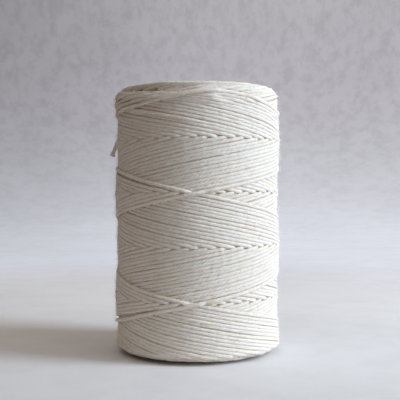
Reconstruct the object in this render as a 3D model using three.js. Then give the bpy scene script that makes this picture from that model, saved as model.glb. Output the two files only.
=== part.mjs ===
// A spool of cotton thread: one thread cross-wound into a package on a cardboard tube.
// Units are millimetres and +Z is up. The origin is the centre of the face that the package stands on.
// Angles are degrees about +Z from the front (-Y), and grow towards +X.
import * as THREE from "three";

// Thread
const THREAD_DIAMETER = 1.4;

// Wound package
const PACKAGE_RADIUS = 32.7; // over the outer turns
const PACKAGE_HEIGHT = 104.5; // between the end faces, which bulge past the outer turns
const CORE_SHOULDER_RADIUS = 5; // rounding of the inner winding's outer edges
const SHOULDER_RADIUS = 4.5; // rounding that the outer turns follow at each end
const BORE_EDGE_CHAMFER = 1; // where the end faces fall away to the tube

// Cardboard tube
const TUBE_BORE_RADIUS = 11;
const TUBE_WALL = 2;
const TUBE_RECESS = 1; // depth of each end of the tube inside the package's end face
const TUBE_EDGE_CHAMFER = 0.4;

// Clearances
const SEAT_GAP = 0.3; // between pieces that rest on or meet each other
const CROSSING_GAP = 0.5; // between the up strokes and the down strokes where they cross

// Route of the outer turns. The thread always travels round towards growing angles. It climbs from
// the lower reversal to the upper one, and comes down again. Up strokes lie outside down strokes.
const LEAD = 40.5; // climb in one turn
const TURNS_PER_STROKE = 2.4; // five of these double strokes step once round the package
const LOWER_REVERSAL_HEIGHT = 2.25; // where two strokes would meet if the reversal were sharp
const REVERSAL_HALF_ARC = 15; // the reversal is rounded over this angle to each side
const CHANGE_HALF_ARC = 9; // the thread changes layer over this angle to each side
const LAST_REVERSAL_ANGLE = 178;
const TURNS_AFTER_LAST_REVERSAL = 2.103;
const WOUND_TURNS = 23.9;
const STEPS_PER_TURN = 24;
const WOUND_SIDES = 6;

// Route of the loose end, from where the outer turns let it go: degrees further round, millimetres
// outside the outer turns' centre line, and millimetres above the place where they end.
const LOOSE_END_ROUTE = [
  [10, 0.7, 1.1],
  [14, 1.2, 1.4],
  [18, 1.55, 1.45],
  [22, 1.75, 1.2],
  [26, 1.8, 0.75],
  [30, 1.8, 0.15],
  [34, 1.8, -0.6],
  [38, 1.8, -1.5],
  [41.5, 1.75, -2.4],
  [44.5, 1.75, -3.5],
  [47, 1.75, -4.7],
  [48.8, 1.9, -5.9],
  [50, 2.2, -7.1],
  [50.8, 2.65, -8.2],
  [51.3, 3.2, -9.1],
];
const LOOSE_SIDES = 8;
const LOOSE_STEP = 2.5 * THREAD_DIAMETER;

// Facets of the round pieces
const ROUND_SEGMENTS = 48;
const SHOULDER_SEGMENTS = 5;

// Sizes that follow from these
const THREAD_RADIUS = THREAD_DIAMETER / 2;
const TUBE_RADIUS = TUBE_BORE_RADIUS + TUBE_WALL;
const OUTER_TURN_RADIUS = PACKAGE_RADIUS - THREAD_RADIUS;
const INNER_TURN_RADIUS = OUTER_TURN_RADIUS - THREAD_DIAMETER - CROSSING_GAP;
const STEP_ANGLE = 360 / STEPS_PER_TURN;
const INNER_TURN_FLAT_RADIUS = INNER_TURN_RADIUS * Math.cos(THREE.MathUtils.degToRad(STEP_ANGLE / 2));
const CORE_RADIUS = INNER_TURN_FLAT_RADIUS - THREAD_RADIUS - SEAT_GAP;

const MATERIALS = {
  thread: { color: 0xe6e2da, roughness: 0.95, metalness: 0 },
  innerThread: { color: 0xd9d4ca, roughness: 0.95, metalness: 0 },
  cardboard: { color: 0xa98c68, roughness: 0.9, metalness: 0 },
};

// A named piece with a material of its own.
function piece(name, geometry, look) {
  const mesh = new THREE.Mesh(geometry, new THREE.MeshStandardMaterial(look));
  mesh.name = name;
  return mesh;
}

// A point from its angle in degrees, its radius and its height.
function pointAt(angle, radius, height) {
  const turn = THREE.MathUtils.degToRad(angle);
  return new THREE.Vector3(radius * Math.sin(turn), -radius * Math.cos(turn), height);
}

// A closed profile of [radius, height] points turned about the Z axis.
function turnedRing(profile) {
  const outline = [...profile, profile[0]].map(([radius, height]) => new THREE.Vector2(radius, height));
  return new THREE.LatheGeometry(outline, ROUND_SEGMENTS).rotateX(Math.PI / 2);
}

// Quarter round from one end face to the wall: corner is [radius, height] of its centre.
function quarterRound(corner, radius, firstAngle) {
  return Array.from({ length: SHOULDER_SEGMENTS + 1 }, (_, i) => {
    const turn = THREE.MathUtils.degToRad(firstAngle + (90 * i) / SHOULDER_SEGMENTS);
    return [corner[0] + radius * Math.cos(turn), corner[1] + radius * Math.sin(turn)];
  });
}

function coreTube() {
  const low = TUBE_RECESS;
  const high = PACKAGE_HEIGHT - TUBE_RECESS;
  const chamfer = TUBE_EDGE_CHAMFER;
  return turnedRing([
    [TUBE_BORE_RADIUS, low + chamfer],
    [TUBE_BORE_RADIUS + chamfer, low],
    [TUBE_RADIUS - chamfer, low],
    [TUBE_RADIUS, low + chamfer],
    [TUBE_RADIUS, high - chamfer],
    [TUBE_RADIUS - chamfer, high],
    [TUBE_BORE_RADIUS + chamfer, high],
    [TUBE_BORE_RADIUS, high - chamfer],
  ]);
}

function innerWinding() {
  const bore = TUBE_RADIUS + SEAT_GAP;
  const round = CORE_SHOULDER_RADIUS;
  return turnedRing([
    [bore, BORE_EDGE_CHAMFER],
    [bore + BORE_EDGE_CHAMFER, 0],
    ...quarterRound([CORE_RADIUS - round, round], round, -90),
    ...quarterRound([CORE_RADIUS - round, PACKAGE_HEIGHT - round], round, 0),
    [bore + BORE_EDGE_CHAMFER, PACKAGE_HEIGHT],
    [bore, PACKAGE_HEIGHT - BORE_EDGE_CHAMFER],
  ]);
}

// Height of the thread, from turns counted after a lower reversal. Each reversal is a parabola that
// meets the straight climb on both sides.
function strokeHeight(turns) {
  const doubleStroke = 2 * TURNS_PER_STROKE;
  const place = THREE.MathUtils.euclideanModulo(turns, doubleStroke);
  const fromLower = Math.min(place, doubleStroke - place);
  const fromReversal = Math.min(fromLower, TURNS_PER_STROKE - fromLower);
  const half = REVERSAL_HALF_ARC / 360;
  const rounding = fromReversal < half ? (half - fromReversal) ** 2 / (2 * half) : 0;
  const inward = fromLower < TURNS_PER_STROKE / 2 ? 1 : -1;
  return LOWER_REVERSAL_HEIGHT + LEAD * (fromLower + inward * rounding);
}

// Share of the way from the inner to the outer layer of turns.
function layerShare(turns) {
  const doubleStroke = 2 * TURNS_PER_STROKE;
  const full = Math.sin((2 * Math.PI * CHANGE_HALF_ARC) / 360 / doubleStroke);
  const now = Math.sin((2 * Math.PI * turns) / doubleStroke);
  return THREE.MathUtils.clamp(0.5 + (0.5 * now) / full, 0, 1);
}

// How far the rounded ends draw a turn at this height in towards the axis.
function shoulderDrop(height) {
  const round = SHOULDER_RADIUS - THREAD_RADIUS;
  const fromEnd = Math.min(height, PACKAGE_HEIGHT - height);
  const past = THREE.MathUtils.clamp(SHOULDER_RADIUS - fromEnd, 0, round);
  return round - Math.sqrt(round ** 2 - past ** 2);
}

// Centre of the thread, from turns counted after the last lower reversal.
function turnPoint(turns) {
  const height = strokeHeight(turns);
  const layer = THREE.MathUtils.lerp(INNER_TURN_RADIUS, OUTER_TURN_RADIUS, layerShare(turns));
  return pointAt(LAST_REVERSAL_ANGLE + 360 * turns, layer - shoulderDrop(height), height);
}

// Centre line of the outer turns. Each end runs straight on for one thread diameter.
function outerTurnsRoute() {
  const steps = Math.round(WOUND_TURNS * STEPS_PER_TURN);
  const route = Array.from({ length: steps + 1 }, (_, i) =>
    turnPoint(TURNS_AFTER_LAST_REVERSAL - (steps - i) / STEPS_PER_TURN),
  );
  const straightOn = (from, to) =>
    to.clone().addScaledVector(to.clone().sub(from).normalize(), THREAD_DIAMETER);
  return [straightOn(route[1], route[0]), ...route, straightOn(route.at(-2), route.at(-1))];
}

// A closed tube of flat-sided section along a route round the Z axis, one corner of it facing outward.
function woundTube(route, radius, sides) {
  const corners = [];
  route.forEach((centre, i) => {
    const before = route[Math.max(i - 1, 0)];
    const after = route[Math.min(i + 1, route.length - 1)];
    const along = after.clone().sub(before).normalize();
    const outward = new THREE.Vector3(centre.x, centre.y, 0);
    outward.addScaledVector(along, -outward.dot(along)).normalize();
    const across = new THREE.Vector3().crossVectors(along, outward);
    for (let k = 0; k < sides; k += 1) {
      const turn = (2 * Math.PI * k) / sides;
      const corner = centre.clone().addScaledVector(outward, radius * Math.cos(turn));
      corners.push(corner.addScaledVector(across, radius * Math.sin(turn)));
    }
  });
  const faces = [];
  for (let i = 0; i + 1 < route.length; i += 1) {
    for (let k = 0; k < sides; k += 1) {
      const here = i * sides + k;
      const beside = i * sides + ((k + 1) % sides);
      faces.push(here, beside, beside + sides, here, beside + sides, here + sides);
    }
  }
  const lastRing = (route.length - 1) * sides;
  for (let k = 1; k + 1 < sides; k += 1) {
    faces.push(0, k + 1, k, lastRing, lastRing + k, lastRing + k + 1);
  }
  const geometry = new THREE.BufferGeometry().setFromPoints(corners);
  geometry.setIndex(faces);
  geometry.computeVertexNormals();
  return geometry;
}

// Least clear distance of a tube along the route to its own other turns, measured between points
// that lie closer together than the tube is thick.
function leastGap(route, diameter) {
  const spacing = diameter / 3;
  const line = new THREE.CurvePath();
  route.slice(1).forEach((point, i) => line.add(new THREE.LineCurve3(route[i], point)));
  const points = line.curves.flatMap((stretch) =>
    stretch.getPoints(Math.ceil(stretch.getLength() / spacing)).slice(0, -1),
  );
  const sameTurn = Math.ceil((4 * diameter) / spacing);
  let least = Infinity;
  for (let i = 0; i < points.length; i += 1) {
    for (let j = i + sameTurn; j < points.length; j += 1) {
      const rise = points[i].z - points[j].z;
      if (rise * rise < least) {
        least = Math.min(least, points[i].distanceToSquared(points[j]));
      }
    }
  }
  return Math.sqrt(least) - diameter;
}

// Centre line of the loose end. It meets the end of the outer turns face to face, runs straight on
// for one thread diameter, and then follows its chosen points.
function looseEndRoute(outerTurns) {
  const end = outerTurns.at(-1);
  const along = end.clone().sub(outerTurns.at(-2)).normalize();
  const start = end.clone().addScaledVector(along, SEAT_GAP);
  const letGo = LAST_REVERSAL_ANGLE + 360 * TURNS_AFTER_LAST_REVERSAL;
  const letGoHeight = strokeHeight(TURNS_AFTER_LAST_REVERSAL);
  const chosen = LOOSE_END_ROUTE.map(([angle, outside, above]) =>
    pointAt(letGo + angle, OUTER_TURN_RADIUS + outside, letGoHeight + above),
  );
  return [start, start.clone().addScaledVector(along, THREAD_DIAMETER), ...chosen];
}

function looseEnd(route) {
  const section = new THREE.Shape(
    Array.from({ length: LOOSE_SIDES }, (_, k) => {
      const turn = (2 * Math.PI * k) / LOOSE_SIDES;
      return new THREE.Vector2(THREAD_RADIUS * Math.cos(turn), THREAD_RADIUS * Math.sin(turn));
    }),
  );
  const path = new THREE.CatmullRomCurve3(route);
  const steps = Math.ceil(path.getLength() / LOOSE_STEP);
  return new THREE.ExtrudeGeometry(section, { steps, bevelEnabled: false, extrudePath: path });
}

const outerTurns = outerTurnsRoute();
console.log(`outer turns: least gap to themselves ${leastGap(outerTurns, THREAD_DIAMETER).toFixed(3)} mm`);

const spool = new THREE.Group();
spool.add(
  piece("core_tube", coreTube(), MATERIALS.cardboard),
  piece("inner_winding", innerWinding(), MATERIALS.innerThread),
  piece("outer_winding", woundTube(outerTurns, THREAD_RADIUS, WOUND_SIDES), MATERIALS.thread),
  piece("loose_end", looseEnd(looseEndRoute(outerTurns)), MATERIALS.thread),
);

export default spool;
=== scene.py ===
# A spool of cotton thread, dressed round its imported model: the wound turns, the reversals that show on
# its end faces, the cardboard tube, the loose end and the stage. Lengths are metres and +Z is up.
# Angles are degrees about +Z from the front (-Y), and grow towards +X.
import math

import bmesh
import bpy
import numpy as np
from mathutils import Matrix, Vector


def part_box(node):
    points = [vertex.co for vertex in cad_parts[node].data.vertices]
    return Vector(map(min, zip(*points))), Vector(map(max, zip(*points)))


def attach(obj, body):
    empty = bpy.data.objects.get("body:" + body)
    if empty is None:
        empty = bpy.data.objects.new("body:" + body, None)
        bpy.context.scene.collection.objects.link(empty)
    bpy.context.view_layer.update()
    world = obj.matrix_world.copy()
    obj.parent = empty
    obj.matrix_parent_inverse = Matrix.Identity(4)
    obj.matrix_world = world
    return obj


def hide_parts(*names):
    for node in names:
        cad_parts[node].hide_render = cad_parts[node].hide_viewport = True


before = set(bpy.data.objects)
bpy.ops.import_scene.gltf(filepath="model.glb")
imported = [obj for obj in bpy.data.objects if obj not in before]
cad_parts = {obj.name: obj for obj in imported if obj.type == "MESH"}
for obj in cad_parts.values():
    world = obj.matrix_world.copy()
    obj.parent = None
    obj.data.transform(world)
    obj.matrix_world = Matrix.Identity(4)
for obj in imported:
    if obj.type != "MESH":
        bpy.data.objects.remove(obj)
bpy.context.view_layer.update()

MM = 0.001

bl_info = {
    "name": "Cotton thread spool",
    "version": (1, 0, 0),
    "blender": (4, 5, 0),
    "location": "3D View > Sidebar > Spool",
    "description": "Builds a cross-wound spool of cotton thread round its packed model",
    "category": "Object",
}

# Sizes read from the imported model
PACKAGE_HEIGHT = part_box("inner_winding")[1][2]
TUBE_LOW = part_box("core_tube")[0][2]
TUBE_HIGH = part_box("core_tube")[1][2]
TUBE_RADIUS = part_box("core_tube")[1][0]

# Route of the last turns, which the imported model's outer turns and loose end share
LEAD = 40.5 * MM
LOWER_REVERSAL_HEIGHT = 2.25 * MM
LAST_REVERSAL_ANGLE = 178
TURNS_AFTER_LAST_REVERSAL = 2.103
LET_GO_ANGLE = LAST_REVERSAL_ANGLE + 360 * TURNS_AFTER_LAST_REVERSAL
LET_GO_HEIGHT = LOWER_REVERSAL_HEIGHT + LEAD * TURNS_AFTER_LAST_REVERSAL
LET_GO_RADIUS = 32 * MM
LET_GO_STEP = 15
THREAD_DIAMETER = 1.4 * MM
SEAT_GAP = 0.3 * MM

# Route of the loose end: degrees further round, distance outside the outer turns' centre line, and
# height above the place where they let it go.
LOOSE_END_ROUTE = [
    (10, 0.7 * MM, 1.1 * MM),
    (14, 1.2 * MM, 1.4 * MM),
    (18, 1.55 * MM, 1.45 * MM),
    (22, 1.75 * MM, 1.2 * MM),
    (26, 1.8 * MM, 0.75 * MM),
    (30, 1.8 * MM, 0.15 * MM),
    (34, 1.8 * MM, -0.6 * MM),
    (38, 1.8 * MM, -1.5 * MM),
    (41.5, 1.75 * MM, -2.4 * MM),
    (44.5, 1.75 * MM, -3.5 * MM),
    (47, 1.75 * MM, -4.7 * MM),
    (48.8, 1.9 * MM, -5.9 * MM),
    (50, 2.2 * MM, -7.1 * MM),
    (50.8, 2.65 * MM, -8.2 * MM),
    (51.3, 3.2 * MM, -9.1 * MM),
]


# ---- Settings -------------------------------------------------------------------------------------


def length_setting(name, description, default):
    return bpy.props.FloatProperty(
        name=name, description=description, default=default, min=0.0, unit="LENGTH", precision=5
    )


def colour_setting(name, description, default):
    return bpy.props.FloatVectorProperty(
        name=name, description=description, default=default, size=3, min=0.0, max=1.0, subtype="COLOR"
    )


class ThreadSettings(bpy.types.PropertyGroup):
    """The thread itself: its size, its twist and its colours."""

    diameter: length_setting("Diameter", "Diameter of the thread", THREAD_DIAMETER)
    lay: length_setting("Lay", "Length of one full twist of the plies", 7.6 * MM)
    pressed: bpy.props.FloatProperty(
        name="Pressed", description="How much wider than round the wound thread lies", default=1.08
    )
    thick_and_thin: bpy.props.FloatProperty(
        name="Thick and thin", description="Share by which the thread's size varies", default=0.07
    )
    lumps: length_setting("Lumps", "Unevenness of the thread's surface", 0.4 * MM)
    full: bpy.props.FloatProperty(
        name="Fullness", description="Width of the thread's loose fibre, against its diameter", default=1.04
    )
    clean: colour_setting("Cotton", "Colour of the open surface", (0.955, 0.942, 0.92))
    # Deep is the colour of painted shade between threads and plies; the cotton's random mottle also darkens
    # towards it.
    deep: colour_setting("Deep", "Colour deep between threads and plies", (0.82, 0.715, 0.56))
    fibre: length_setting("Fibre", "Thickness of a loose tuft of fibres", 0.065 * MM)
    fibre_length: length_setting("Fibre length", "Length of a loose tuft of fibres", 2.6 * MM)
    fibre_lift: length_setting("Fibre lift", "How far the tufts stand off the thread", 0.28 * MM)


class WindingSettings(bpy.types.PropertyGroup):
    """How the thread is wound into the package."""

    lead: length_setting("Lead", "Climb of the thread in one turn", LEAD)
    lower_reversal: length_setting(
        "Lower reversal", "Where two strokes would meet if it were sharp", LOWER_REVERSAL_HEIGHT
    )
    radius: length_setting("Radius", "Radius of the package at its newest turns", 33.3 * MM)
    depth: length_setting("Depth", "Depth of the turns that cover the package once", 2.2 * MM)
    growth: length_setting("Growth", "How much lower the oldest of them lie than the newest", 1.35 * MM)
    cycles: bpy.props.IntProperty(
        name="Cycles", description="Double strokes that cover the package once", default=29
    )
    stroke_turns: bpy.props.FloatProperty(
        name="Turns a stroke", description="Whole and half turns in one stroke", default=2.5
    )
    upper_arc: bpy.props.FloatProperty(
        name="Upper arc", description="Angle to each side of an upper reversal that is rounded", default=30.0
    )
    lower_arc: bpy.props.FloatProperty(
        name="Lower arc", description="Angle to each side of a lower reversal that is rounded", default=16.0
    )
    shoulder: length_setting("Shoulder", "Rounding of the package's upper end", 4.6 * MM)
    foot: length_setting("Foot", "Rounding of the package's lower end", 2.4 * MM)
    crown: length_setting("Crown", "How far the lower end face bulges below its rim", 1.5 * MM)
    bend: length_setting("Bend", "Tightest bend over a crossing thread", 4.5 * MM)
    contact: length_setting("Contact", "Distance between crossing threads' centre lines", 1.0 * MM)
    pride: length_setting("Pride", "How far a thread may stand above its layer", 0.14 * MM)
    stray: length_setting("Stray", "How far a turn strays to the side", 0.11 * MM)


class TubeSettings(bpy.types.PropertyGroup):
    """The spiral-wound cardboard tube."""

    bore_radius: length_setting("Bore radius", "Radius of the tube's bore", 11.0 * MM)
    ply_width: length_setting("Ply width", "Width of the wound strip of board", 38.0 * MM)
    board: colour_setting("Board", "Colour of the board", (0.47, 0.34, 0.215))


class StageSettings(bpy.types.PropertyGroup):
    """The floor, the light and the camera."""

    floor: colour_setting("Floor", "Colour of the floor", (0.875, 0.89, 0.93))
    bounce: colour_setting("Bounce", "Colour in which the near floor returns light", (0.78, 0.735, 0.70))
    glow: length_setting("Glow", "Distance up to which the floor lights the package", 0.24)
    room: colour_setting("Room", "Colour in which the walls return light", (0.33, 0.275, 0.245))
    sky: colour_setting("Sky", "Colour of the light from above", (1.0, 0.9, 0.8))
    sky_strength: bpy.props.FloatProperty(
        name="Sky strength", description="Strength of the light from above", default=0.59
    )
    # Painted light on the wall, which glows for the camera: skirting, wall and dusk darken it upwards, and
    # across darkens it to the left. Deepening paints the floor lighter further back.
    skirting: colour_setting("Skirting", "Tone where the wall meets the floor", (0.70, 0.715, 0.785))
    wall: colour_setting("Wall", "Tone of the wall's upper part", (0.43, 0.415, 0.445))
    dusk: length_setting("Dusk", "Height over which the wall's tone falls", 0.13)
    across: bpy.props.FloatProperty(
        name="Across", description="Share by which the wall brightens in a metre to the right", default=0.72
    )
    deepening: bpy.props.FloatProperty(
        name="Deepening", description="Share by which the floor brightens a metre further back", default=1.1
    )
    # The wall's tone there is the painted fall of light above.
    near: length_setting("Near", "Distance where the floor starts to become the wall's plain tone", 0.18)
    far: length_setting("Far", "Distance where it is fully that tone", 0.42)
    lens: bpy.props.FloatProperty(name="Lens", description="Focal length", default=68.1)
    eye_height: length_setting("Eye height", "Height of the camera", 63.5 * MM)
    distance: length_setting("Distance", "Camera to the package's axis", 306.0 * MM)


# ---- Routes ---------------------------------------------------------------------------------------


def points_at(angle, radius, height):
    """Points from angles in degrees, radii and heights, as an array with a row for each."""
    turn = np.radians(angle)
    return np.stack([radius * np.sin(turn), -radius * np.cos(turn), height + 0 * turn], axis=-1)


def smooth_noise(count, spacing, rng):
    """Random values that change smoothly, one knot for each spacing, with unit spread."""
    knots = rng.standard_normal(int(count / spacing) + 4)
    place = np.arange(count) / spacing
    first = place.astype(int)
    share = place - first
    share = share * share * (3 - 2 * share)
    return knots[first] * (1 - share) + knots[first + 1] * share


def smooth_path(points, step):
    """A smooth curve through the points, as rows about one step apart."""
    points = np.asarray(points)
    padded = np.vstack([2 * points[0] - points[1], points, 2 * points[-1] - points[-2]])
    rows = []
    for a, b, c, d in zip(padded, padded[1:], padded[2:], padded[3:]):
        count = max(2, int(np.linalg.norm(c - b) / step))
        t = (np.arange(count) / count)[:, None]
        rows.append(
            0.5 * (2 * b + (c - a) * t + (2 * a - 5 * b + 4 * c - d) * t**2 + (3 * b - a - 3 * c + d) * t**3)
        )
    return np.vstack(rows + [points[-1:]])


def let_go():
    """The point where the outer turns let the loose end go, and the way that it leaves."""
    end = points_at(LET_GO_ANGLE, LET_GO_RADIUS, LET_GO_HEIGHT)
    climb = LEAD * LET_GO_STEP / 360
    before = points_at(LET_GO_ANGLE - LET_GO_STEP, LET_GO_RADIUS, LET_GO_HEIGHT - climb)
    return end, (end - before) / np.linalg.norm(end - before)


def loose_end_points():
    """The loose end's points, from where it leaves the outer turns."""
    end, along = let_go()
    start = end + along * (THREAD_DIAMETER + SEAT_GAP)
    chosen = [
        points_at(LET_GO_ANGLE + angle, LET_GO_RADIUS + outside, LET_GO_HEIGHT + above)
        for angle, outside, above in LOOSE_END_ROUTE
    ]
    return [start, start + along * THREAD_DIAMETER, *chosen]


def stroke_height(turns, winding):
    """Height of the thread, from turns counted after the last lower reversal."""
    stroke = winding.stroke_turns + 0.5 / winding.cycles
    place = np.mod(turns, 2 * stroke)
    from_lower = np.minimum(place, 2 * stroke - place)
    from_reversal = np.minimum(from_lower, stroke - from_lower)
    half = np.where(from_lower < stroke / 2, winding.lower_arc, winding.upper_arc) / 360
    rounding = np.where(from_reversal < half, (half - from_reversal) ** 2 / (2 * half), 0)
    inward = np.where(from_lower < stroke / 2, 1, -1)
    return winding.lower_reversal + winding.lead * (from_lower + inward * rounding)


def shoulder_drop(height, winding):
    """How far the rounded ends draw the surface in towards the axis."""
    low = height < PACKAGE_HEIGHT / 2
    from_end = np.where(low, height - winding.crown, PACKAGE_HEIGHT - height)
    rounding = np.where(low, winding.foot, winding.shoulder)
    past = np.clip(rounding - from_end, 0, rounding)
    return rounding - np.sqrt(rounding**2 - past**2)


# ---- Laying the turns -----------------------------------------------------------------------------

TURN_STEPS = 360  # points of the thread's centre line in one turn
CHUNK = 120  # points laid at a time
REACH = 24  # points over which a taut thread bridges a dip
LAYING_SEED = 4
CARRIAGE_SHARE = 0.7  # of the straying, the part that a whole stroke shares
WANDER_SHARE = 0.55  # and the part that changes along the thread
WANDER_SPACING = 38  # points between its changes
GAUGE_SPACING = 14  # points between changes of the thread's size
STROKE_BLEND = 8  # how many times faster than a stroke its straying sets in
STEADY_STROKES = 1.5  # newest double strokes, which stray less
LETTING_GO = 60  # points over which the thread rises to where it is let go
SMOOTHING = [0.1, 0.2, 0.4, 0.2, 0.1]

# Where the newest turns stray from the even winding: turns after the last reversal, and how far up
STRAYS = [(-1.667, 1.0 * MM), (0.32, -1.4 * MM)]
STRAY_TURNS = 0.085

# Where the older turns have sunk away from the upper rim and leave a groove below it
PARTING_ANGLE = -42
PARTING_SPAN = 34
PARTING_STEEPNESS = 1.6
PARTING_HEIGHT = 102.5 * MM
PARTING_DEPTH = 1.05 * MM
PARTING_REACH = 3.0 * MM  # how far below the rim the turns are squeezed
PARTING_TURNS = 12  # newest turns, which it leaves alone

# How far the newest turns have slipped down from the upper shoulder, from the last reversal back
NEWEST_SLIPS = [4.6 * MM, 4.1 * MM, 3.3 * MM, 2.3 * MM, 1.4 * MM, 0.7 * MM]
SLIP_ANGLE = -32
SLIP_BEFORE = 50 / 360  # turns over which the slip fades to the left and to the right
SLIP_AFTER = 40 / 360
OLDER_SLIP = 0.5 * MM
SLIP_TURNS = 0.6  # to each side of a reversal


def upper_slip(turns, double_stroke, rng):
    """How far each point of the thread has slipped down near its upper reversal."""
    back = (-double_stroke / 2 - turns) / double_stroke
    number = np.maximum(np.round(back), 0).astype(int)
    older = OLDER_SLIP * rng.random(number.max() + 1)
    older[: len(NEWEST_SLIPS)] = 0
    near = np.clip(1 - np.abs(back - number) * double_stroke / SLIP_TURNS, 0, 1)
    slip = older[number] * near**2 * (3 - 2 * near)
    first = (SLIP_ANGLE - LAST_REVERSAL_ANGLE) / 360 - 2
    for stroke, amount in enumerate(NEWEST_SLIPS):
        off = turns - (first - round(double_stroke) * stroke)
        slip += amount * np.exp(-((off / np.where(off < 0, SLIP_BEFORE, SLIP_AFTER)) ** 2))
    return slip


def parted(angle, height):
    """Heights of turns that have sunk a little and leave a groove below the upper rim."""
    off = (angle + 180 - PARTING_ANGLE) % 360 - 180
    share = np.clip(PARTING_STEEPNESS * (1 - np.abs(off) / PARTING_SPAN), 0, 1)
    share = share * share * (3 - 2 * share)
    squeezed = np.clip(1 - (PARTING_HEIGHT - height) / PARTING_REACH, 0, 1)
    return height - share * squeezed * PARTING_DEPTH


def lay_turns(thread, winding):
    """Lays the outer turns one after another on the turns below, each at rest on what it crosses.

    A thread that would stand too high presses what it crosses down into the soft package. Returns the
    points of the thread's centre line and its size at each, as a share of its diameter."""
    rng = np.random.default_rng(LAYING_SEED)
    double_stroke = 2 * winding.stroke_turns + 1 / winding.cycles
    count = int(round(winding.cycles * double_stroke * TURN_STEPS))
    last = int(round(TURNS_AFTER_LAST_REVERSAL * TURN_STEPS))
    steps = np.arange(last - count, last + 1)
    turns = steps / TURN_STEPS
    size = len(steps)

    stroke_place = turns / (double_stroke / 2)
    stroke_number = np.floor(stroke_place).astype(int)
    blend = np.clip((stroke_place - stroke_number) * STROKE_BLEND, 0, 1)
    stroke_number -= stroke_number.min()
    by_stroke = rng.standard_normal(stroke_number.max() + 2)
    carriage = by_stroke[stroke_number] * (1 - blend) + by_stroke[stroke_number + 1] * blend
    age = (last - steps) / TURN_STEPS / double_stroke
    height = stroke_height(turns, winding)
    wander = CARRIAGE_SHARE * carriage + WANDER_SHARE * smooth_noise(size, WANDER_SPACING, rng)
    height += winding.stray * wander * (1 - np.exp(-age / STEADY_STROKES))
    height -= upper_slip(turns, double_stroke, rng)
    old = turns < turns[-1] - PARTING_TURNS
    height = np.where(old, parted(360 * turns + LAST_REVERSAL_ANGLE, height), height)
    for place, strayed in STRAYS:
        height += strayed * np.exp(-(((turns - place) / STRAY_TURNS) ** 2))
    to_let_go = np.clip(1 - (last - steps) / LETTING_GO, 0, 1) ** 2
    height += to_let_go * (LET_GO_HEIGHT - height[-1])
    inside = 0.52 * thread.diameter
    height = np.clip(height, winding.crown + inside, PACKAGE_HEIGHT - inside)
    gauge = 1 + thread.thick_and_thin * smooth_noise(size, GAUGE_SPACING, rng)

    ground = winding.radius - winding.growth * age / winding.cycles
    ground -= shoulder_drop(height, winding)
    limit = ground - thread.diameter / 2
    bed = ground - winding.depth + 0.4 * thread.diameter
    beside = 0.8 * thread.diameter
    arc_step = 2 * math.pi * winding.radius / TURN_STEPS
    sag = (np.arange(-REACH, REACH + 1) * arc_step) ** 2 / (2 * winding.bend)
    earlier = TURN_STEPS * np.arange(1, int(turns[-1] - turns[0]) + 1)
    laid = bed.copy()
    for first in range(0, size, CHUNK):
        start = max(first - REACH, 0)
        stop = min(first + CHUNK, size)
        rows = np.arange(start, min(stop + REACH, size))
        below = rows[:, None] - earlier
        known = below >= 0
        below = np.maximum(below, 0)
        aside = height[below] - height[rows, None]
        near = known & (np.abs(aside) < beside)
        apart = winding.contact * np.sqrt(np.maximum(1 - (aside / beside) ** 2, 0))
        rest = np.maximum(np.where(near, laid[below] + apart, 0).max(axis=1, initial=0), bed[rows])
        rest[: first - start] = laid[start:first]
        padded = np.pad(rest, REACH, mode="edge")
        taut = np.max([padded[k : k + len(rest)] - fall for k, fall in enumerate(sag)], axis=0)
        taut = np.convolve(np.pad(taut, 2, mode="edge"), SMOOTHING, mode="valid")
        over = taut - limit[rows]
        taut = np.where(over > 0, limit[rows] + winding.pride * np.tanh(over / winding.pride / 3), taut)
        own = slice(first - start, stop - start)
        laid[first:stop] = taut[own]
        pressed = np.where(near, laid[rows, None] - apart, np.inf)[own]
        pushed = below[own][near[own]]
        laid[pushed] = np.minimum(laid[pushed], pressed[near[own]])
    laid += to_let_go * (LET_GO_RADIUS - laid[-1])
    points = points_at(360 * turns + LAST_REVERSAL_ANGLE, laid, height)
    end, along = let_go()
    onward = end + along * np.linspace(0, THREAD_DIAMETER + SEAT_GAP, 5)[1:, None]
    gauge = np.concatenate([gauge, np.full(len(onward), gauge[-1])])
    return np.concatenate([points, onward]), gauge


# ---- Node trees -----------------------------------------------------------------------------------


def add_input(tree, name, kind, default=None):
    socket = tree.interface.new_socket(name, in_out="INPUT", socket_type=kind)
    if default is not None:
        socket.default_value = default


def add_node(tree, kind, links=None, **settings):
    """A node with its settings made and its inputs linked or set, by name or number."""
    node = tree.nodes.new(kind)
    for name, value in settings.items():
        setattr(node, name, value)
    for key, value in (links or {}).items():
        socket = node.inputs[key]
        if isinstance(value, bpy.types.NodeSocket):
            tree.links.new(value, socket)
        else:
            socket.default_value = value
    return node


def maths(tree, operation, *values):
    return add_node(tree, "ShaderNodeMath", dict(enumerate(values)), operation=operation).outputs[0]


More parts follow.
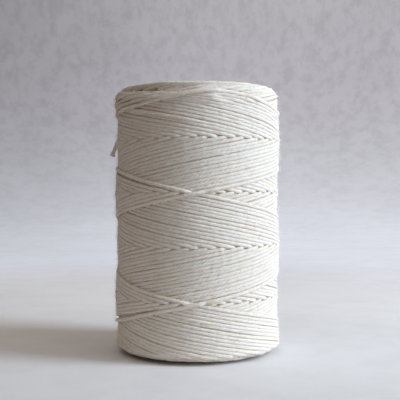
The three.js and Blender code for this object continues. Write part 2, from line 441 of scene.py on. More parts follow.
def thread_tree():
    """A tube of thread along a curve, wider than deep where it is pressed against its neighbours. The plies
    swell out of its section and twist along it. The tube keeps where each point lies on the thread: its
    length, and its place on the section, turned back by the twist. It also keeps how far each point has
    turned from the side that faces out of the package, from 0 to 1, or 0 all round a thread that isn't
    packed between others; the cotton paints shade between threads by it."""
    tree = bpy.data.node_groups.get("Thread along a route")
    if tree:
        return tree
    tree = bpy.data.node_groups.new("Thread along a route", "GeometryNodeTree")
    tree.interface.new_socket("Geometry", in_out="OUTPUT", socket_type="NodeSocketGeometry")
    add_input(tree, "Geometry", "NodeSocketGeometry")
    add_input(tree, "Diameter", "NodeSocketFloat", THREAD_DIAMETER)
    add_input(tree, "Pressed", "NodeSocketFloat", 1.0)
    add_input(tree, "Lay", "NodeSocketFloat", 7.6 * MM)
    add_input(tree, "Plies", "NodeSocketInt", 4)
    add_input(tree, "Sides", "NodeSocketInt", 8)
    add_input(tree, "Ply depth", "NodeSocketFloat", 0.0)
    add_input(tree, "Lumps", "NodeSocketFloat", 0.0)
    add_input(tree, "Packed", "NodeSocketFloat", 1.0)
    add_input(tree, "Material", "NodeSocketMaterial")
    given = add_node(tree, "NodeGroupInput").outputs
    out = add_node(tree, "NodeGroupOutput")

    def keep(geometry, name, value, kind="FLOAT"):
        links = {"Geometry": geometry, "Name": name}
        node = add_node(
            tree, "GeometryNodeStoreNamedAttribute", links, data_type=kind, domain="POINT"
        )
        tree.links.new(value, node.inputs["Value"])
        return node.outputs[0]

    def named(name):
        node = add_node(tree, "GeometryNodeInputNamedAttribute", {"Name": name}, data_type="FLOAT")
        return node.outputs["Attribute"]

    radius = maths(tree, "MULTIPLY", given["Diameter"], 0.5)
    circle = add_node(
        tree, "GeometryNodeCurvePrimitiveCircle", {"Resolution": given["Sides"], "Radius": radius}
    )
    place = add_node(tree, "GeometryNodeSplineParameter")
    angle = maths(tree, "MULTIPLY", place.outputs["Factor"], 2 * math.pi)
    profile = keep(circle.outputs[0], "section_angle", angle)
    oval = add_node(
        tree,
        "ShaderNodeCombineXYZ",
        {0: maths(tree, "DIVIDE", 1.0, given["Pressed"]), 1: given["Pressed"], 2: 1.0},
    )
    position = add_node(tree, "GeometryNodeInputPosition")
    pressed = add_node(
        tree,
        "ShaderNodeVectorMath",
        {0: position.outputs[0], 1: oval.outputs[0]},
        operation="MULTIPLY",
    )
    profile = add_node(
        tree, "GeometryNodeSetPosition", {"Geometry": profile, "Position": pressed.outputs[0]}
    ).outputs[0]
    route = keep(given["Geometry"], "route_length", place.outputs["Length"])
    tube = add_node(
        tree,
        "GeometryNodeCurveToMesh",
        {"Curve": route, "Profile Curve": profile, "Fill Caps": True},
    ).outputs[0]

    twist = maths(tree, "DIVIDE", named("route_length"), given["Lay"])
    turned = maths(tree, "MULTIPLY_ADD", twist, 2 * math.pi, named("section_angle"))
    place_on_thread = add_node(
        tree,
        "ShaderNodeCombineXYZ",
        {
            0: named("route_length"),
            1: maths(tree, "MULTIPLY", maths(tree, "COSINE", turned), radius),
            2: maths(tree, "MULTIPLY", maths(tree, "SINE", turned), radius),
        },
    )
    tube = keep(tube, "thread_place", place_on_thread.outputs[0], "FLOAT_VECTOR")
    # The mask of painted shade between packed threads: 0 on the outward side, 1 on the inward side.
    facing = maths(tree, "COSINE", named("section_angle"))
    side = maths(tree, "MULTIPLY_ADD", facing, -0.5, 0.5)
    tube = keep(tube, "painted_shade_side", maths(tree, "MULTIPLY", side, given["Packed"]))
    ply = maths(tree, "COSINE", maths(tree, "MULTIPLY", turned, given["Plies"]))
    swell = maths(tree, "MULTIPLY", ply, maths(tree, "MULTIPLY", given["Ply depth"], radius))
    links = {"Vector": place_on_thread.outputs[0], "Scale": 850.0, "Detail": 1.0}
    noise = add_node(tree, "ShaderNodeTexNoise", links).outputs[0]
    lump = maths(tree, "MULTIPLY", maths(tree, "SUBTRACT", noise, 0.5), given["Lumps"])
    swell = maths(tree, "ADD", swell, lump)
    normal = add_node(tree, "GeometryNodeInputNormal")
    outward = add_node(
        tree, "ShaderNodeVectorMath", {0: normal.outputs[0], "Scale": swell}, operation="SCALE"
    )
    tube = add_node(
        tree, "GeometryNodeSetPosition", {"Geometry": tube, "Offset": outward.outputs[0]}
    ).outputs[0]
    for name in ("section_angle", "route_length"):
        tube = add_node(
            tree, "GeometryNodeRemoveAttribute", {"Geometry": tube, "Name": name}
        ).outputs[0]
    tube = add_node(tree, "GeometryNodeSetShadeSmooth", {"Geometry": tube}).outputs[0]
    tube = add_node(tree, "GeometryNodeRealizeInstances", {"Geometry": tube}).outputs[0]
    tube = add_node(
        tree, "GeometryNodeSetMaterial", {"Geometry": tube, "Material": given["Material"]}
    ).outputs[0]
    tree.links.new(tube, out.inputs[0])
    return tree


def ring_tree():
    """Copies of one piece of thread set round the Z axis, each turned and shifted a little at random."""
    tree = bpy.data.node_groups.get("Reversals round the axis")
    if tree:
        return tree
    tree = bpy.data.node_groups.new("Reversals round the axis", "GeometryNodeTree")
    tree.interface.new_socket("Geometry", in_out="OUTPUT", socket_type="NodeSocketGeometry")
    add_input(tree, "Geometry", "NodeSocketGeometry")
    add_input(tree, "Count", "NodeSocketInt", 25)
    add_input(tree, "First angle", "NodeSocketFloat", 0.0)
    add_input(tree, "Turn spread", "NodeSocketFloat", 0.02)
    add_input(tree, "Height spread", "NodeSocketFloat", 0.0002)
    add_input(tree, "Seed", "NodeSocketInt", 1)
    add_input(tree, "Material", "NodeSocketMaterial")
    given = add_node(tree, "NodeGroupInput").outputs
    out = add_node(tree, "NodeGroupOutput")
    places = add_node(tree, "GeometryNodePoints", {"Count": given["Count"]})
    index = add_node(tree, "GeometryNodeInputIndex").outputs[0]
    pitch = maths(tree, "DIVIDE", 2 * math.pi, given["Count"])
    even = maths(tree, "MULTIPLY_ADD", index, pitch, given["First angle"])

    def spread(limit, seed_offset):
        seed = maths(tree, "ADD", given["Seed"], seed_offset)
        node = add_node(
            tree,
            "FunctionNodeRandomValue",
            {"ID": index, "Seed": seed},
            data_type="FLOAT",
        )
        floats = [s for s in node.inputs if s.type == "VALUE" and s.name in ("Min", "Max")]
        tree.links.new(maths(tree, "MULTIPLY", limit, -1.0), floats[0])
        tree.links.new(limit, floats[1])
        return [s for s in node.outputs if s.type == "VALUE"][0]

    turn = maths(tree, "ADD", even, spread(given["Turn spread"], 1))
    rotation = add_node(tree, "ShaderNodeCombineXYZ", {2: turn})
    shift = add_node(tree, "ShaderNodeCombineXYZ", {2: spread(given["Height spread"], 2)})
    placed = add_node(
        tree,
        "GeometryNodeInstanceOnPoints",
        {
            "Points": places.outputs[0],
            "Instance": given["Geometry"],
            "Rotation": rotation.outputs[0],
        },
    )
    shifted = add_node(
        tree,
        "GeometryNodeTranslateInstances",
        {"Instances": placed.outputs[0], "Translation": shift.outputs[0]},
    )
    real = add_node(tree, "GeometryNodeRealizeInstances", {"Geometry": shifted.outputs[0]})
    dressed = add_node(
        tree,
        "GeometryNodeSetMaterial",
        {"Geometry": real.outputs[0], "Material": given["Material"]},
    )
    tree.links.new(dressed.outputs[0], out.inputs[0])
    return tree


def fibre_tree():
    """A bent tuft of fibres on each point, lying roughly along the thread and a little off it."""
    tree = bpy.data.node_groups.get("Loose fibres")
    if tree:
        return tree
    tree = bpy.data.node_groups.new("Loose fibres", "GeometryNodeTree")
    tree.interface.new_socket("Geometry", in_out="OUTPUT", socket_type="NodeSocketGeometry")
    add_input(tree, "Geometry", "NodeSocketGeometry")
    add_input(tree, "Length", "NodeSocketFloat", 2.6 * MM)
    add_input(tree, "Thickness", "NodeSocketFloat", 0.065 * MM)
    add_input(tree, "Lift", "NodeSocketFloat", 0.28 * MM)
    add_input(tree, "Seed", "NodeSocketInt", 1)
    add_input(tree, "Material", "NodeSocketMaterial")
    given = add_node(tree, "NodeGroupInput").outputs
    out = add_node(tree, "NodeGroupOutput")
    thin = maths(tree, "MULTIPLY", given["Thickness"], 0.5)
    section = add_node(
        tree, "GeometryNodeCurvePrimitiveCircle", {"Resolution": 3, "Radius": thin}
    ).outputs[0]

    def place(along, aside, off):
        values = (
            maths(tree, "MULTIPLY", given["Length"], along),
            maths(tree, "MULTIPLY", given["Length"], aside),
            maths(tree, "MULTIPLY", given["Lift"], off),
        )
        return add_node(tree, "ShaderNodeCombineXYZ", dict(enumerate(values))).outputs[0]

    bends = [
        ((0.55, 0.14, 2.2), (1.0, -0.05, -0.4)),
        ((0.45, -0.16, 1.6), (0.95, 0.12, 1.9)),
        ((0.35, 0.1, 1.4), (0.7, 0.3, 3.2)),
    ]
    kinds = add_node(tree, "GeometryNodeGeometryToInstance")
    for middle, end in bends:
        links = {"Resolution": 4, "Start": place(0, 0, -0.6), "Middle": place(*middle), "End": place(*end)}
        bent = add_node(tree, "GeometryNodeCurveQuadraticBezier", links).outputs[0]
        links = {"Curve": bent, "Profile Curve": section, "Fill Caps": True}
        tuft = add_node(tree, "GeometryNodeCurveToMesh", links).outputs[0]
        tree.links.new(tuft, kinds.inputs[0])

    def named(name):
        links = {"Name": name}
        node = add_node(tree, "GeometryNodeInputNamedAttribute", links, data_type="FLOAT_VECTOR")
        return [s for s in node.outputs if s.enabled and s.name == "Attribute"][0]

    def chance(kind, low, high, more):
        seed = maths(tree, "ADD", given["Seed"], more)
        node = add_node(tree, "FunctionNodeRandomValue", {"Seed": seed}, data_type=kind)
        lows = [s for s in node.inputs if s.enabled and s.name == "Min"]
        highs = [s for s in node.inputs if s.enabled and s.name == "Max"]
        lows[0].default_value = low
        highs[0].default_value = high
        return [s for s in node.outputs if s.enabled][0]

    upright = add_node(
        tree, "FunctionNodeAlignRotationToVector", {"Vector": named("outward")}, axis="Z"
    ).outputs[0]
    lying = add_node(
        tree,
        "FunctionNodeAlignRotationToVector",
        {"Rotation": upright, "Vector": named("along")},
        axis="X",
        pivot_axis="Z",
    ).outputs[0]
    turned = add_node(
        tree,
        "FunctionNodeRotateRotation",
        {"Rotation": lying, "Rotate By": chance("FLOAT_VECTOR", (-0.3, -0.1, -0.7), (0.3, 0.1, 0.7), 3)},
        rotation_space="LOCAL",
    ).outputs[0]
    placed = add_node(
        tree,
        "GeometryNodeInstanceOnPoints",
        {
            "Points": given["Geometry"],
            "Instance": kinds.outputs[0],
            "Pick Instance": True,
            "Instance Index": chance("INT", 0, len(bends) - 1, 1),
            "Rotation": turned,
            "Scale": chance("FLOAT", 0.55, 1.35, 2),
        },
    ).outputs[0]
    real = add_node(tree, "GeometryNodeRealizeInstances", {"Geometry": placed}).outputs[0]
    links = {"Geometry": real, "Material": given["Material"]}
    tree.links.new(add_node(tree, "GeometryNodeSetMaterial", links).outputs[0], out.inputs[0])
    return tree


def run_tree(name, source, tree, **values):
    """The plain mesh that a node tree makes of an object, as a new object in its place."""
    modifier = source.modifiers.new("Form", "NODES")
    modifier.node_group = tree
    sockets = {s.name: s.identifier for s in tree.interface.items_tree if s.item_type == "SOCKET"}
    for key, value in values.items():
        modifier[sockets[key.replace("_", " ").capitalize()]] = value
    source.update_tag()
    bpy.context.view_layer.update()
    graph = bpy.context.evaluated_depsgraph_get()
    mesh = bpy.data.meshes.new_from_object(source.evaluated_get(graph), depsgraph=graph)
    mesh.name = name
    made = bpy.data.objects.new(name, mesh)
    bpy.context.scene.collection.objects.link(made)
    data = source.data
    bpy.data.objects.remove(source)
    (bpy.data.curves if isinstance(data, bpy.types.Curve) else bpy.data.meshes).remove(data)
    return made


def route_object(routes):
    """A curve object with one spline for each (points, gauge) route."""
    curve = bpy.data.curves.new("Route", "CURVE")
    curve.dimensions = "3D"
    curve.twist_mode = "Z_UP"
    for points, gauge in routes:
        spline = curve.splines.new("POLY")
        spline.points.add(len(points) - 1)
        rows = np.concatenate([points, np.ones((len(points), 1))], axis=1)
        spline.points.foreach_set("co", rows.ravel())
        spline.points.foreach_set("radius", np.broadcast_to(gauge, len(points)).astype(np.float32))
    made = bpy.data.objects.new("Route", curve)
    bpy.context.scene.collection.objects.link(made)
    return made


# ---- Materials ------------------------------------------------------------------------------------


def cotton_group():
    """Cotton fibre along a thread: its colour, with painted shade between threads and in the grooves between
    its plies, and the height of its plies, tufts and fibres.
    """
    tree = bpy.data.node_groups.get("Cotton fibre")
    if tree:
        return tree
    tree = bpy.data.node_groups.new("Cotton fibre", "ShaderNodeTree")
    add_input(tree, "Place", "NodeSocketVector")
    add_input(tree, "Side", "NodeSocketFloat", 0.0)
    add_input(tree, "Plies", "NodeSocketFloat", 4.0)
    add_input(tree, "Open colour", "NodeSocketColor", (0.9, 0.9, 0.88, 1))
    add_input(tree, "Shade and mottle colour", "NodeSocketColor", (0.8, 0.75, 0.68, 1))
    add_input(tree, "Fibre scale", "NodeSocketFloat", 5200.0)
    add_input(tree, "Tuft scale", "NodeSocketFloat", 1000.0)
    tree.interface.new_socket("Color", in_out="OUTPUT", socket_type="NodeSocketColor")
    tree.interface.new_socket("Height", in_out="OUTPUT", socket_type="NodeSocketFloat")
    given = add_node(tree, "NodeGroupInput").outputs
    out = add_node(tree, "NodeGroupOutput")

    def noise(vector, scale, detail):
        links = {"Vector": vector, "Scale": scale, "Detail": detail, "Roughness": 0.6}
        return add_node(tree, "ShaderNodeTexNoise", links).outputs[0]

    def between(value, low, high, top):
        links = {"Value": value, "From Min": low, "From Max": high, "To Max": top}
        node = add_node(tree, "ShaderNodeMapRange", links, interpolation_type="SMOOTHSTEP")
        return node.outputs[0]

    along = add_node(
        tree, "ShaderNodeMapping", {"Vector": given["Place"], "Scale": (0.16, 1.0, 1.0)}
    )
    fibres = noise(along.outputs[0], given["Fibre scale"], 3.0)
    tufts = noise(given["Place"], given["Tuft scale"], 2.0)
    slubs = noise(given["Place"], 180.0, 2.0)
    part = add_node(tree, "ShaderNodeSeparateXYZ", {0: given["Place"]}).outputs
    angle = maths(tree, "ARCTAN2", part["Z"], part["Y"])
    crest = maths(tree, "COSINE", maths(tree, "MULTIPLY", angle, given["Plies"]))
    groove = maths(tree, "POWER", maths(tree, "MULTIPLY_ADD", crest, -0.5, 0.5), 2.0)
    # Painted shade between threads: the deep colour on the thread's sides, more the further they turn from
    # the outside, with a ragged edge from the tufts.
    ragged = maths(tree, "MULTIPLY_ADD", maths(tree, "SUBTRACT", tufts, 0.5), 0.5, given["Side"])
    deep = between(ragged, 0.09, 0.32, 0.85)
    # Painted shade in the grooves between plies, then darker random fibres, tufts and slubs.
    dark = maths(tree, "MULTIPLY_ADD", groove, 0.2, deep)
    dark = maths(tree, "ADD", dark, between(fibres, 0.4, 0.65, 0.12))
    dark = maths(tree, "ADD", dark, maths(tree, "MULTIPLY_ADD", tufts, 0.8, -0.45))
    dark = maths(tree, "ADD", dark, maths(tree, "MULTIPLY_ADD", slubs, 0.4, -0.2))
    share = add_node(tree, "ShaderNodeClamp", {"Value": dark}).outputs[0]
    colour = add_node(
        tree,
        "ShaderNodeMix",
        {"Factor": share, 6: given["Open colour"], 7: given["Shade and mottle colour"]},
        data_type="RGBA",
    )
    tree.links.new(colour.outputs[2], out.inputs["Color"])
    height = maths(tree, "MULTIPLY_ADD", groove, -0.8, maths(tree, "MULTIPLY", fibres, 0.4))
    height = maths(tree, "MULTIPLY_ADD", tufts, 1.6, height)
    tree.links.new(height, out.inputs["Height"])
    return tree


def new_material(name):
    material = bpy.data.materials.new(name)
    material.use_nodes = True
    material.node_tree.nodes.clear()
    return material, material.node_tree


def finish_material(tree, shader):
    out = add_node(tree, "ShaderNodeOutputMaterial")
    tree.links.new(shader.outputs[0], out.inputs[0])


def thread_material(clean, deep):
    """Natural cotton thread, by its place on the thread, with painted shade between threads and between
    plies.
    """
    name = "Cotton thread"
    if name in bpy.data.materials:
        return bpy.data.materials[name]
    material, tree = new_material(name)
    place = add_node(tree, "ShaderNodeAttribute", attribute_name="thread_place")
    side = add_node(tree, "ShaderNodeAttribute", attribute_name="painted_shade_side")
    cotton = add_node(tree, "ShaderNodeGroup", node_tree=cotton_group())
    tree.links.new(place.outputs["Vector"], cotton.inputs["Place"])
    tree.links.new(side.outputs["Fac"], cotton.inputs["Side"])
    cotton.inputs["Open colour"].default_value = (*clean, 1)
    cotton.inputs["Shade and mottle colour"].default_value = (*deep, 1)
    raised = add_node(
        tree,
        "ShaderNodeBump",
        {"Height": cotton.outputs["Height"], "Strength": 0.6, "Distance": 0.2 * MM},
    )
    shader = add_node(
        tree,
        "ShaderNodeBsdfPrincipled",
        {
            "Base Color": cotton.outputs["Color"],
            "Normal": raised.outputs[0],
            "Roughness": 0.95,
            "Diffuse Roughness": 0.2,
            "Specular IOR Level": 0.15,
            "Sheen Weight": 0.08,
            "Sheen Roughness": 0.6,
            "Subsurface Weight": 0.28,
            "Subsurface Radius": (1.0, 0.9, 0.8),
            "Subsurface Scale": 0.8 * MM,
        },
    )
    finish_material(tree, shader)
    return material


def board_material(colour):
    """Grey-brown board with pressed fibres and flecks."""
    material, tree = new_material("Grey board")
    place = add_node(tree, "ShaderNodeTexCoord").outputs["Object"]
    fibres = add_node(
        tree, "ShaderNodeTexNoise", {"Vector": place, "Scale": 900.0, "Detail": 5.0}
    ).outputs[0]
    flecks = add_node(
        tree, "ShaderNodeTexNoise", {"Vector": place, "Scale": 3200.0, "Detail": 2.0}
    ).outputs[0]
    mix = maths(tree, "MULTIPLY_ADD", flecks, 0.5, maths(tree, "MULTIPLY", fibres, 0.5))
    ramp = add_node(tree, "ShaderNodeValToRGB", {"Fac": mix})
    ramp.color_ramp.elements[0].position = 0.36
    ramp.color_ramp.elements[0].color = (*[0.62 * c for c in colour], 1)
    ramp.color_ramp.elements[1].position = 0.62
    ramp.color_ramp.elements[1].color = (*[min(1.0, 1.18 * c) for c in colour], 1)
    raised = add_node(
        tree, "ShaderNodeBump", {"Height": mix, "Strength": 0.35, "Distance": 0.05 * MM}
    )
    shader = add_node(
        tree,
        "ShaderNodeBsdfPrincipled",
        {
            "Base Color": ramp.outputs[0],
            "Normal": raised.outputs[0],
            "Roughness": 0.88,
            "Specular IOR Level": 0.3,
        },
    )
    finish_material(tree, shader)
    return material


# ---- Pieces ---------------------------------------------------------------------------------------


def settle(piece, slot, *nodes):
    """Gives a finished piece its body and hides the imported nodes that it stands for. The slot is not used.
    """
    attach(piece, "root")
    if nodes:
        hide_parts(*nodes)
    return piece


def turned_mesh(name, profile, segments, material):
    """A closed profile of (radius, height) points turned about the Z axis."""
    shape = bmesh.new()
    rings = []
    for k in range(segments):
        turn = 2 * math.pi * k / segments
        rings.append(
            [shape.verts.new((r * math.cos(turn), r * math.sin(turn), z)) for r, z in profile]
        )
    for k, ring in enumerate(rings):
        beside = rings[(k + 1) % segments]
        for i in range(len(profile)):
            j = (i + 1) % len(profile)
            shape.faces.new((ring[i], beside[i], beside[j], ring[j]))
    bmesh.ops.recalc_face_normals(shape, faces=shape.faces)
    mesh = bpy.data.meshes.new(name)
    shape.to_mesh(mesh)
    shape.free()
    mesh.materials.append(material)
    made = bpy.data.objects.new(name, mesh)
    bpy.context.scene.collection.objects.link(made)
    return made


def arc_points(centre, radius, first, last, count):
    """Points of an arc from the first to the last angle, in degrees, in a (radius, height) plane."""
    turn = np.radians(np.linspace(first, last, count))
    return [(centre[0] + radius * math.cos(t), centre[1] + radius * math.sin(t)) for t in turn]


class SPOOL_OT_wound_turns(bpy.types.Operator):
    """Lay the outer turns of the thread"""

    bl_idname = "spool.wound_turns"
    bl_label = "Wound turns"

    PARTS = 5

    def execute(self, context):
        thread = context.scene.spool_thread
        winding = context.scene.spool_winding
        points, gauge = lay_turns(thread, winding)
        material = thread_material(thread.clean, thread.deep)
        cuts = np.linspace(0, len(points) - 1, self.PARTS + 1).astype(int)
        for number, (first, last) in enumerate(zip(cuts, cuts[1:]), start=1):
            source = route_object([(points[first : last + 1], gauge[first : last + 1])])
            piece = run_tree(
                f"wound_turns_{number}",
                source,
                thread_tree(),
                diameter=thread.diameter * thread.full,
                pressed=thread.pressed,
                lay=thread.lay,
                lumps=thread.lumps,
                sides=8,
                material=material,
            )
            settle(piece, "thread", "outer_winding")
        return {"FINISHED"}


CELL_ANGLE = 2  # degrees round the axis, in each cell where the outermost thread is sought
CELL_HEIGHT = 0.7 * MM
COVERED = 0.35 * MM  # how far below the outermost one a thread counts as covered


def open_places(points, count, rng):
    """Points of the thread, chosen at random from those that no other turn covers, and for each the way
    that the thread runs there."""
    radius = np.hypot(points[:, 0], points[:, 1])
    turn = np.degrees(np.arctan2(points[:, 1], points[:, 0]))
    across = (turn // CELL_ANGLE).astype(int) % (360 // CELL_ANGLE)
    up = (points[:, 2] // CELL_HEIGHT).astype(int)
    cell = across * (up.max() + 1) + up
    outermost = np.zeros(cell.max() + 1)
    np.maximum.at(outermost, cell, radius)
    open_ones = np.flatnonzero(radius > outermost[cell] - COVERED)
    chosen = np.sort(rng.choice(open_ones[open_ones > 0], count, replace=False))
    along = points[chosen] - points[chosen - 1]
    return points[chosen], along / np.linalg.norm(along, axis=1)[:, None]


def fibre_material(clean, deep):
    """Loose cotton fibre, paler and duller from tuft to tuft."""
    material, tree = new_material("Loose cotton")
    cotton = add_node(tree, "ShaderNodeGroup", node_tree=cotton_group())
    place = add_node(tree, "ShaderNodeTexCoord").outputs["Object"]
    tree.links.new(place, cotton.inputs["Place"])
    cotton.inputs["Open colour"].default_value = (*clean, 1)
    cotton.inputs["Shade and mottle colour"].default_value = (*deep, 1)
    shader = add_node(
        tree,
        "ShaderNodeBsdfPrincipled",
        {"Base Color": cotton.outputs["Color"], "Roughness": 0.9, "Specular IOR Level": 0.2},
    )
    finish_material(tree, shader)
    return material


class SPOOL_OT_loose_fibres(bpy.types.Operator):
    """Let short tufts of fibre stand off the outer turns"""

    bl_idname = "spool.loose_fibres"
    bl_label = "Loose fibres"

    PARTS = 2
    TUFTS = 7400  # in each part
    SEED = 31
    ROUND = 0.9  # radians to each side of the thread's crest where tufts are rooted

    def execute(self, context):
        thread = context.scene.spool_thread
        points = lay_turns(thread, context.scene.spool_winding)[0]
        rng = np.random.default_rng(self.SEED)
        material = fibre_material(thread.clean, thread.deep)
        places, along = open_places(points, self.PARTS * self.TUFTS, rng)
        outward = places * (1, 1, 0)
        outward /= np.linalg.norm(outward, axis=1)[:, None]
        aside = np.cross(along, outward)
        round_thread = rng.uniform(-self.ROUND, self.ROUND, len(places))[:, None]
        outward = np.cos(round_thread) * outward + np.sin(round_thread) * aside
        along *= rng.choice((-1, 1), len(places))[:, None]
        roots = places + outward * thread.diameter / 2
        for part in range(self.PARTS):
            own = slice(part * self.TUFTS, (part + 1) * self.TUFTS)
            source = point_object(roots[own], outward=outward[own], along=along[own])
            piece = run_tree(
                f"loose_fibres_{part + 1}", source, fibre_tree(), length=thread.fibre_length,
                thickness=thread.fibre, lift=thread.fibre_lift, seed=part, material=material,
            )
            settle(piece, "thread")
        return {"FINISHED"}


def point_object(points, **vectors):
    """A mesh of loose points, with a vector for each point under each name."""
    mesh = bpy.data.meshes.new("Points")
    mesh.from_pydata(points.tolist(), [], [])
    for name, rows in vectors.items():
        mesh.attributes.new(name, "FLOAT_VECTOR", "POINT").data.foreach_set("vector", rows.ravel())
    made = bpy.data.objects.new("Points", mesh)
    bpy.context.scene.collection.objects.link(made)
    return made


class SPOOL_OT_end_turns(bpy.types.Operator):
    """Set the reversals of the inner layers on both end faces"""

    bl_idname = "spool.end_turns"
    bl_label = "End turns"

    HALF_ARC = 34  # degrees of thread to each side of a reversal
    LAYER_STEP = 2.8 * MM  # an up and a down layer together
    INNERMOST = 15.4 * MM
    CROWNED = 21.0 * MM  # the lower end face curves up outside this
    SEED = 9
    SUNK = 0.05 * MM  # of the reversals below the end face
    DIP = 0.15 * MM  # of one layer's reversals against the next
    CROSSING = 5.0  # degrees over which a reversal's thread passes from one layer to the other
    APART = 0.46  # of the two layers' threads from the middle, as a share of the diameter

    def execute(self, context):
        thread = context.scene.spool_thread
        winding = context.scene.spool_winding
        material = thread_material(thread.clean, thread.deep)
        rng = np.random.default_rng(self.SEED)
        layers = int((winding.radius - 1.7 * winding.depth - self.INNERMOST) / self.LAYER_STEP) + 1
        for end, name in ((1, "end_turns_top"), (-1, "end_turns_bottom")):
            rings = []
            for layer in range(layers):
                ring_radius = self.INNERMOST + layer * self.LAYER_STEP
                rings.append(self.ring(ring_radius, end, layer, rng, thread, winding, material))
            piece = join(name, rings)
            settle(piece, "thread", "inner_winding")
        return {"FINISHED"}

    def ring(self, ring_radius, end, layer, rng, thread, winding, material):
        """The reversals of one pair of layers."""
        angle = np.arange(-self.HALF_ARC, self.HALF_ARC + 1, 2.0 if ring_radius < 22 * MM else 1.5)
        half = winding.upper_arc if end > 0 else winding.lower_arc
        fall = np.where(
            np.abs(angle) < half, angle**2 / (2 * half), np.abs(angle) - half / 2
        ) * (winding.lead / 360)
        outer = max(ring_radius - (winding.radius - winding.shoulder), 0)
        face = shoulder_rise(outer, winding.shoulder)
        dip = self.DIP * math.sin(layer * 2.1)
        top = PACKAGE_HEIGHT - thread.diameter / 2 - self.SUNK - face
        height = top - fall - abs(dip)
        if end < 0:
            bulge = min(max((ring_radius - self.CROWNED) / (winding.radius - self.CROWNED), 0), 1)
            height = PACKAGE_HEIGHT - height + winding.crown * bulge
        side = np.tanh(angle / self.CROSSING)
        radius = ring_radius - side * thread.diameter * self.APART
        points = points_at(angle, radius, height)
        source = route_object([(points, 1.0)])
        arc = run_tree(
            "Reversal", source, thread_tree(), diameter=thread.diameter * thread.full, lay=thread.lay,
            lumps=thread.lumps, sides=8, material=material,
        )
        return run_tree(
            "Ring", arc, ring_tree(), count=winding.cycles, first_angle=float(rng.uniform(0, 6)),
            turn_spread=0.03, height_spread=0.12 * MM, seed=layer + 20, material=material,
        )


def shoulder_rise(past, shoulder):
    """How far the rounded shoulder has fallen away from the end face, this far past its start."""
    return shoulder - math.sqrt(max(shoulder**2 - min(past, shoulder) ** 2, 0))


def join(name, objects):
    """One mesh object of several."""
    mesh = bpy.data.meshes.new(name)
    shape = bmesh.new()
    material = objects[0].data.materials[0]
    for one in objects:
        shape.from_mesh(one.data)
        data = one.data
        bpy.data.objects.remove(one)
        bpy.data.meshes.remove(data)
    shape.to_mesh(mesh)
    shape.free()
    mesh.materials.append(material)
    made = bpy.data.objects.new(name, mesh)
    bpy.context.scene.collection.objects.link(made)
    return made


class SPOOL_OT_winding_bed(bpy.types.Operator):
    """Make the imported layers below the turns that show"""

    bl_idname = "spool.winding_bed"
    bl_label = "Winding bed"

    END_DEPTH = 1.3 * MM  # of the bed below each end face
    SIDE_DEPTH = 3.5 * MM  # of its wall below the newest of the outer turns
    ROUNDING = 1.5 * MM

    def execute(self, context):
        thread = context.scene.spool_thread
        winding = context.scene.spool_winding
        # The bed shows between the turns in the painted shade tone.
        material = bed_material(thread.deep)
        wall = winding.radius - self.SIDE_DEPTH
        bore = TUBE_RADIUS + SEAT_GAP
        low = self.END_DEPTH
        high = PACKAGE_HEIGHT - self.END_DEPTH
        round_edge = self.ROUNDING
        profile = [
            (bore, low),
            *arc_points((wall - round_edge, low + round_edge), round_edge, -90, 0, 8),
            *arc_points((wall - round_edge, high - round_edge), round_edge, 0, 90, 8),
            (bore, high),
        ]
        piece = turned_mesh("winding_bed", profile, 96, material)
        settle(piece, "thread", "inner_winding")
        return {"FINISHED"}


def bed_material(colour):
    """Cotton in the painted shade tone, darker still in painted bands of shade where the turns that it is
    made of meet.
    """
    material, tree = new_material("Packed cotton in painted shade")
    place = add_node(tree, "ShaderNodeTexCoord").outputs["Object"]
    bands = add_node(
        tree, "ShaderNodeTexWave", {"Vector": place, "Scale": 210.0, "Distortion": 1.5},
        bands_direction="Z",
    ).outputs[0]
    # Painted shade: the bands fall to about half the deep colour where the turns meet.
    ramp = add_node(tree, "ShaderNodeValToRGB", {"Fac": bands})
    ramp.color_ramp.elements[0].color = (*[0.55 * c for c in colour], 1)
    ramp.color_ramp.elements[1].color = (*colour, 1)
    raised = add_node(tree, "ShaderNodeBump", {"Height": bands, "Strength": 0.5, "Distance": 0.3 * MM})
    shader = add_node(
        tree,
        "ShaderNodeBsdfPrincipled",
        {"Base Color": ramp.outputs[0], "Normal": raised.outputs[0], "Roughness": 0.95},
    )
    finish_material(tree, shader)
    return material


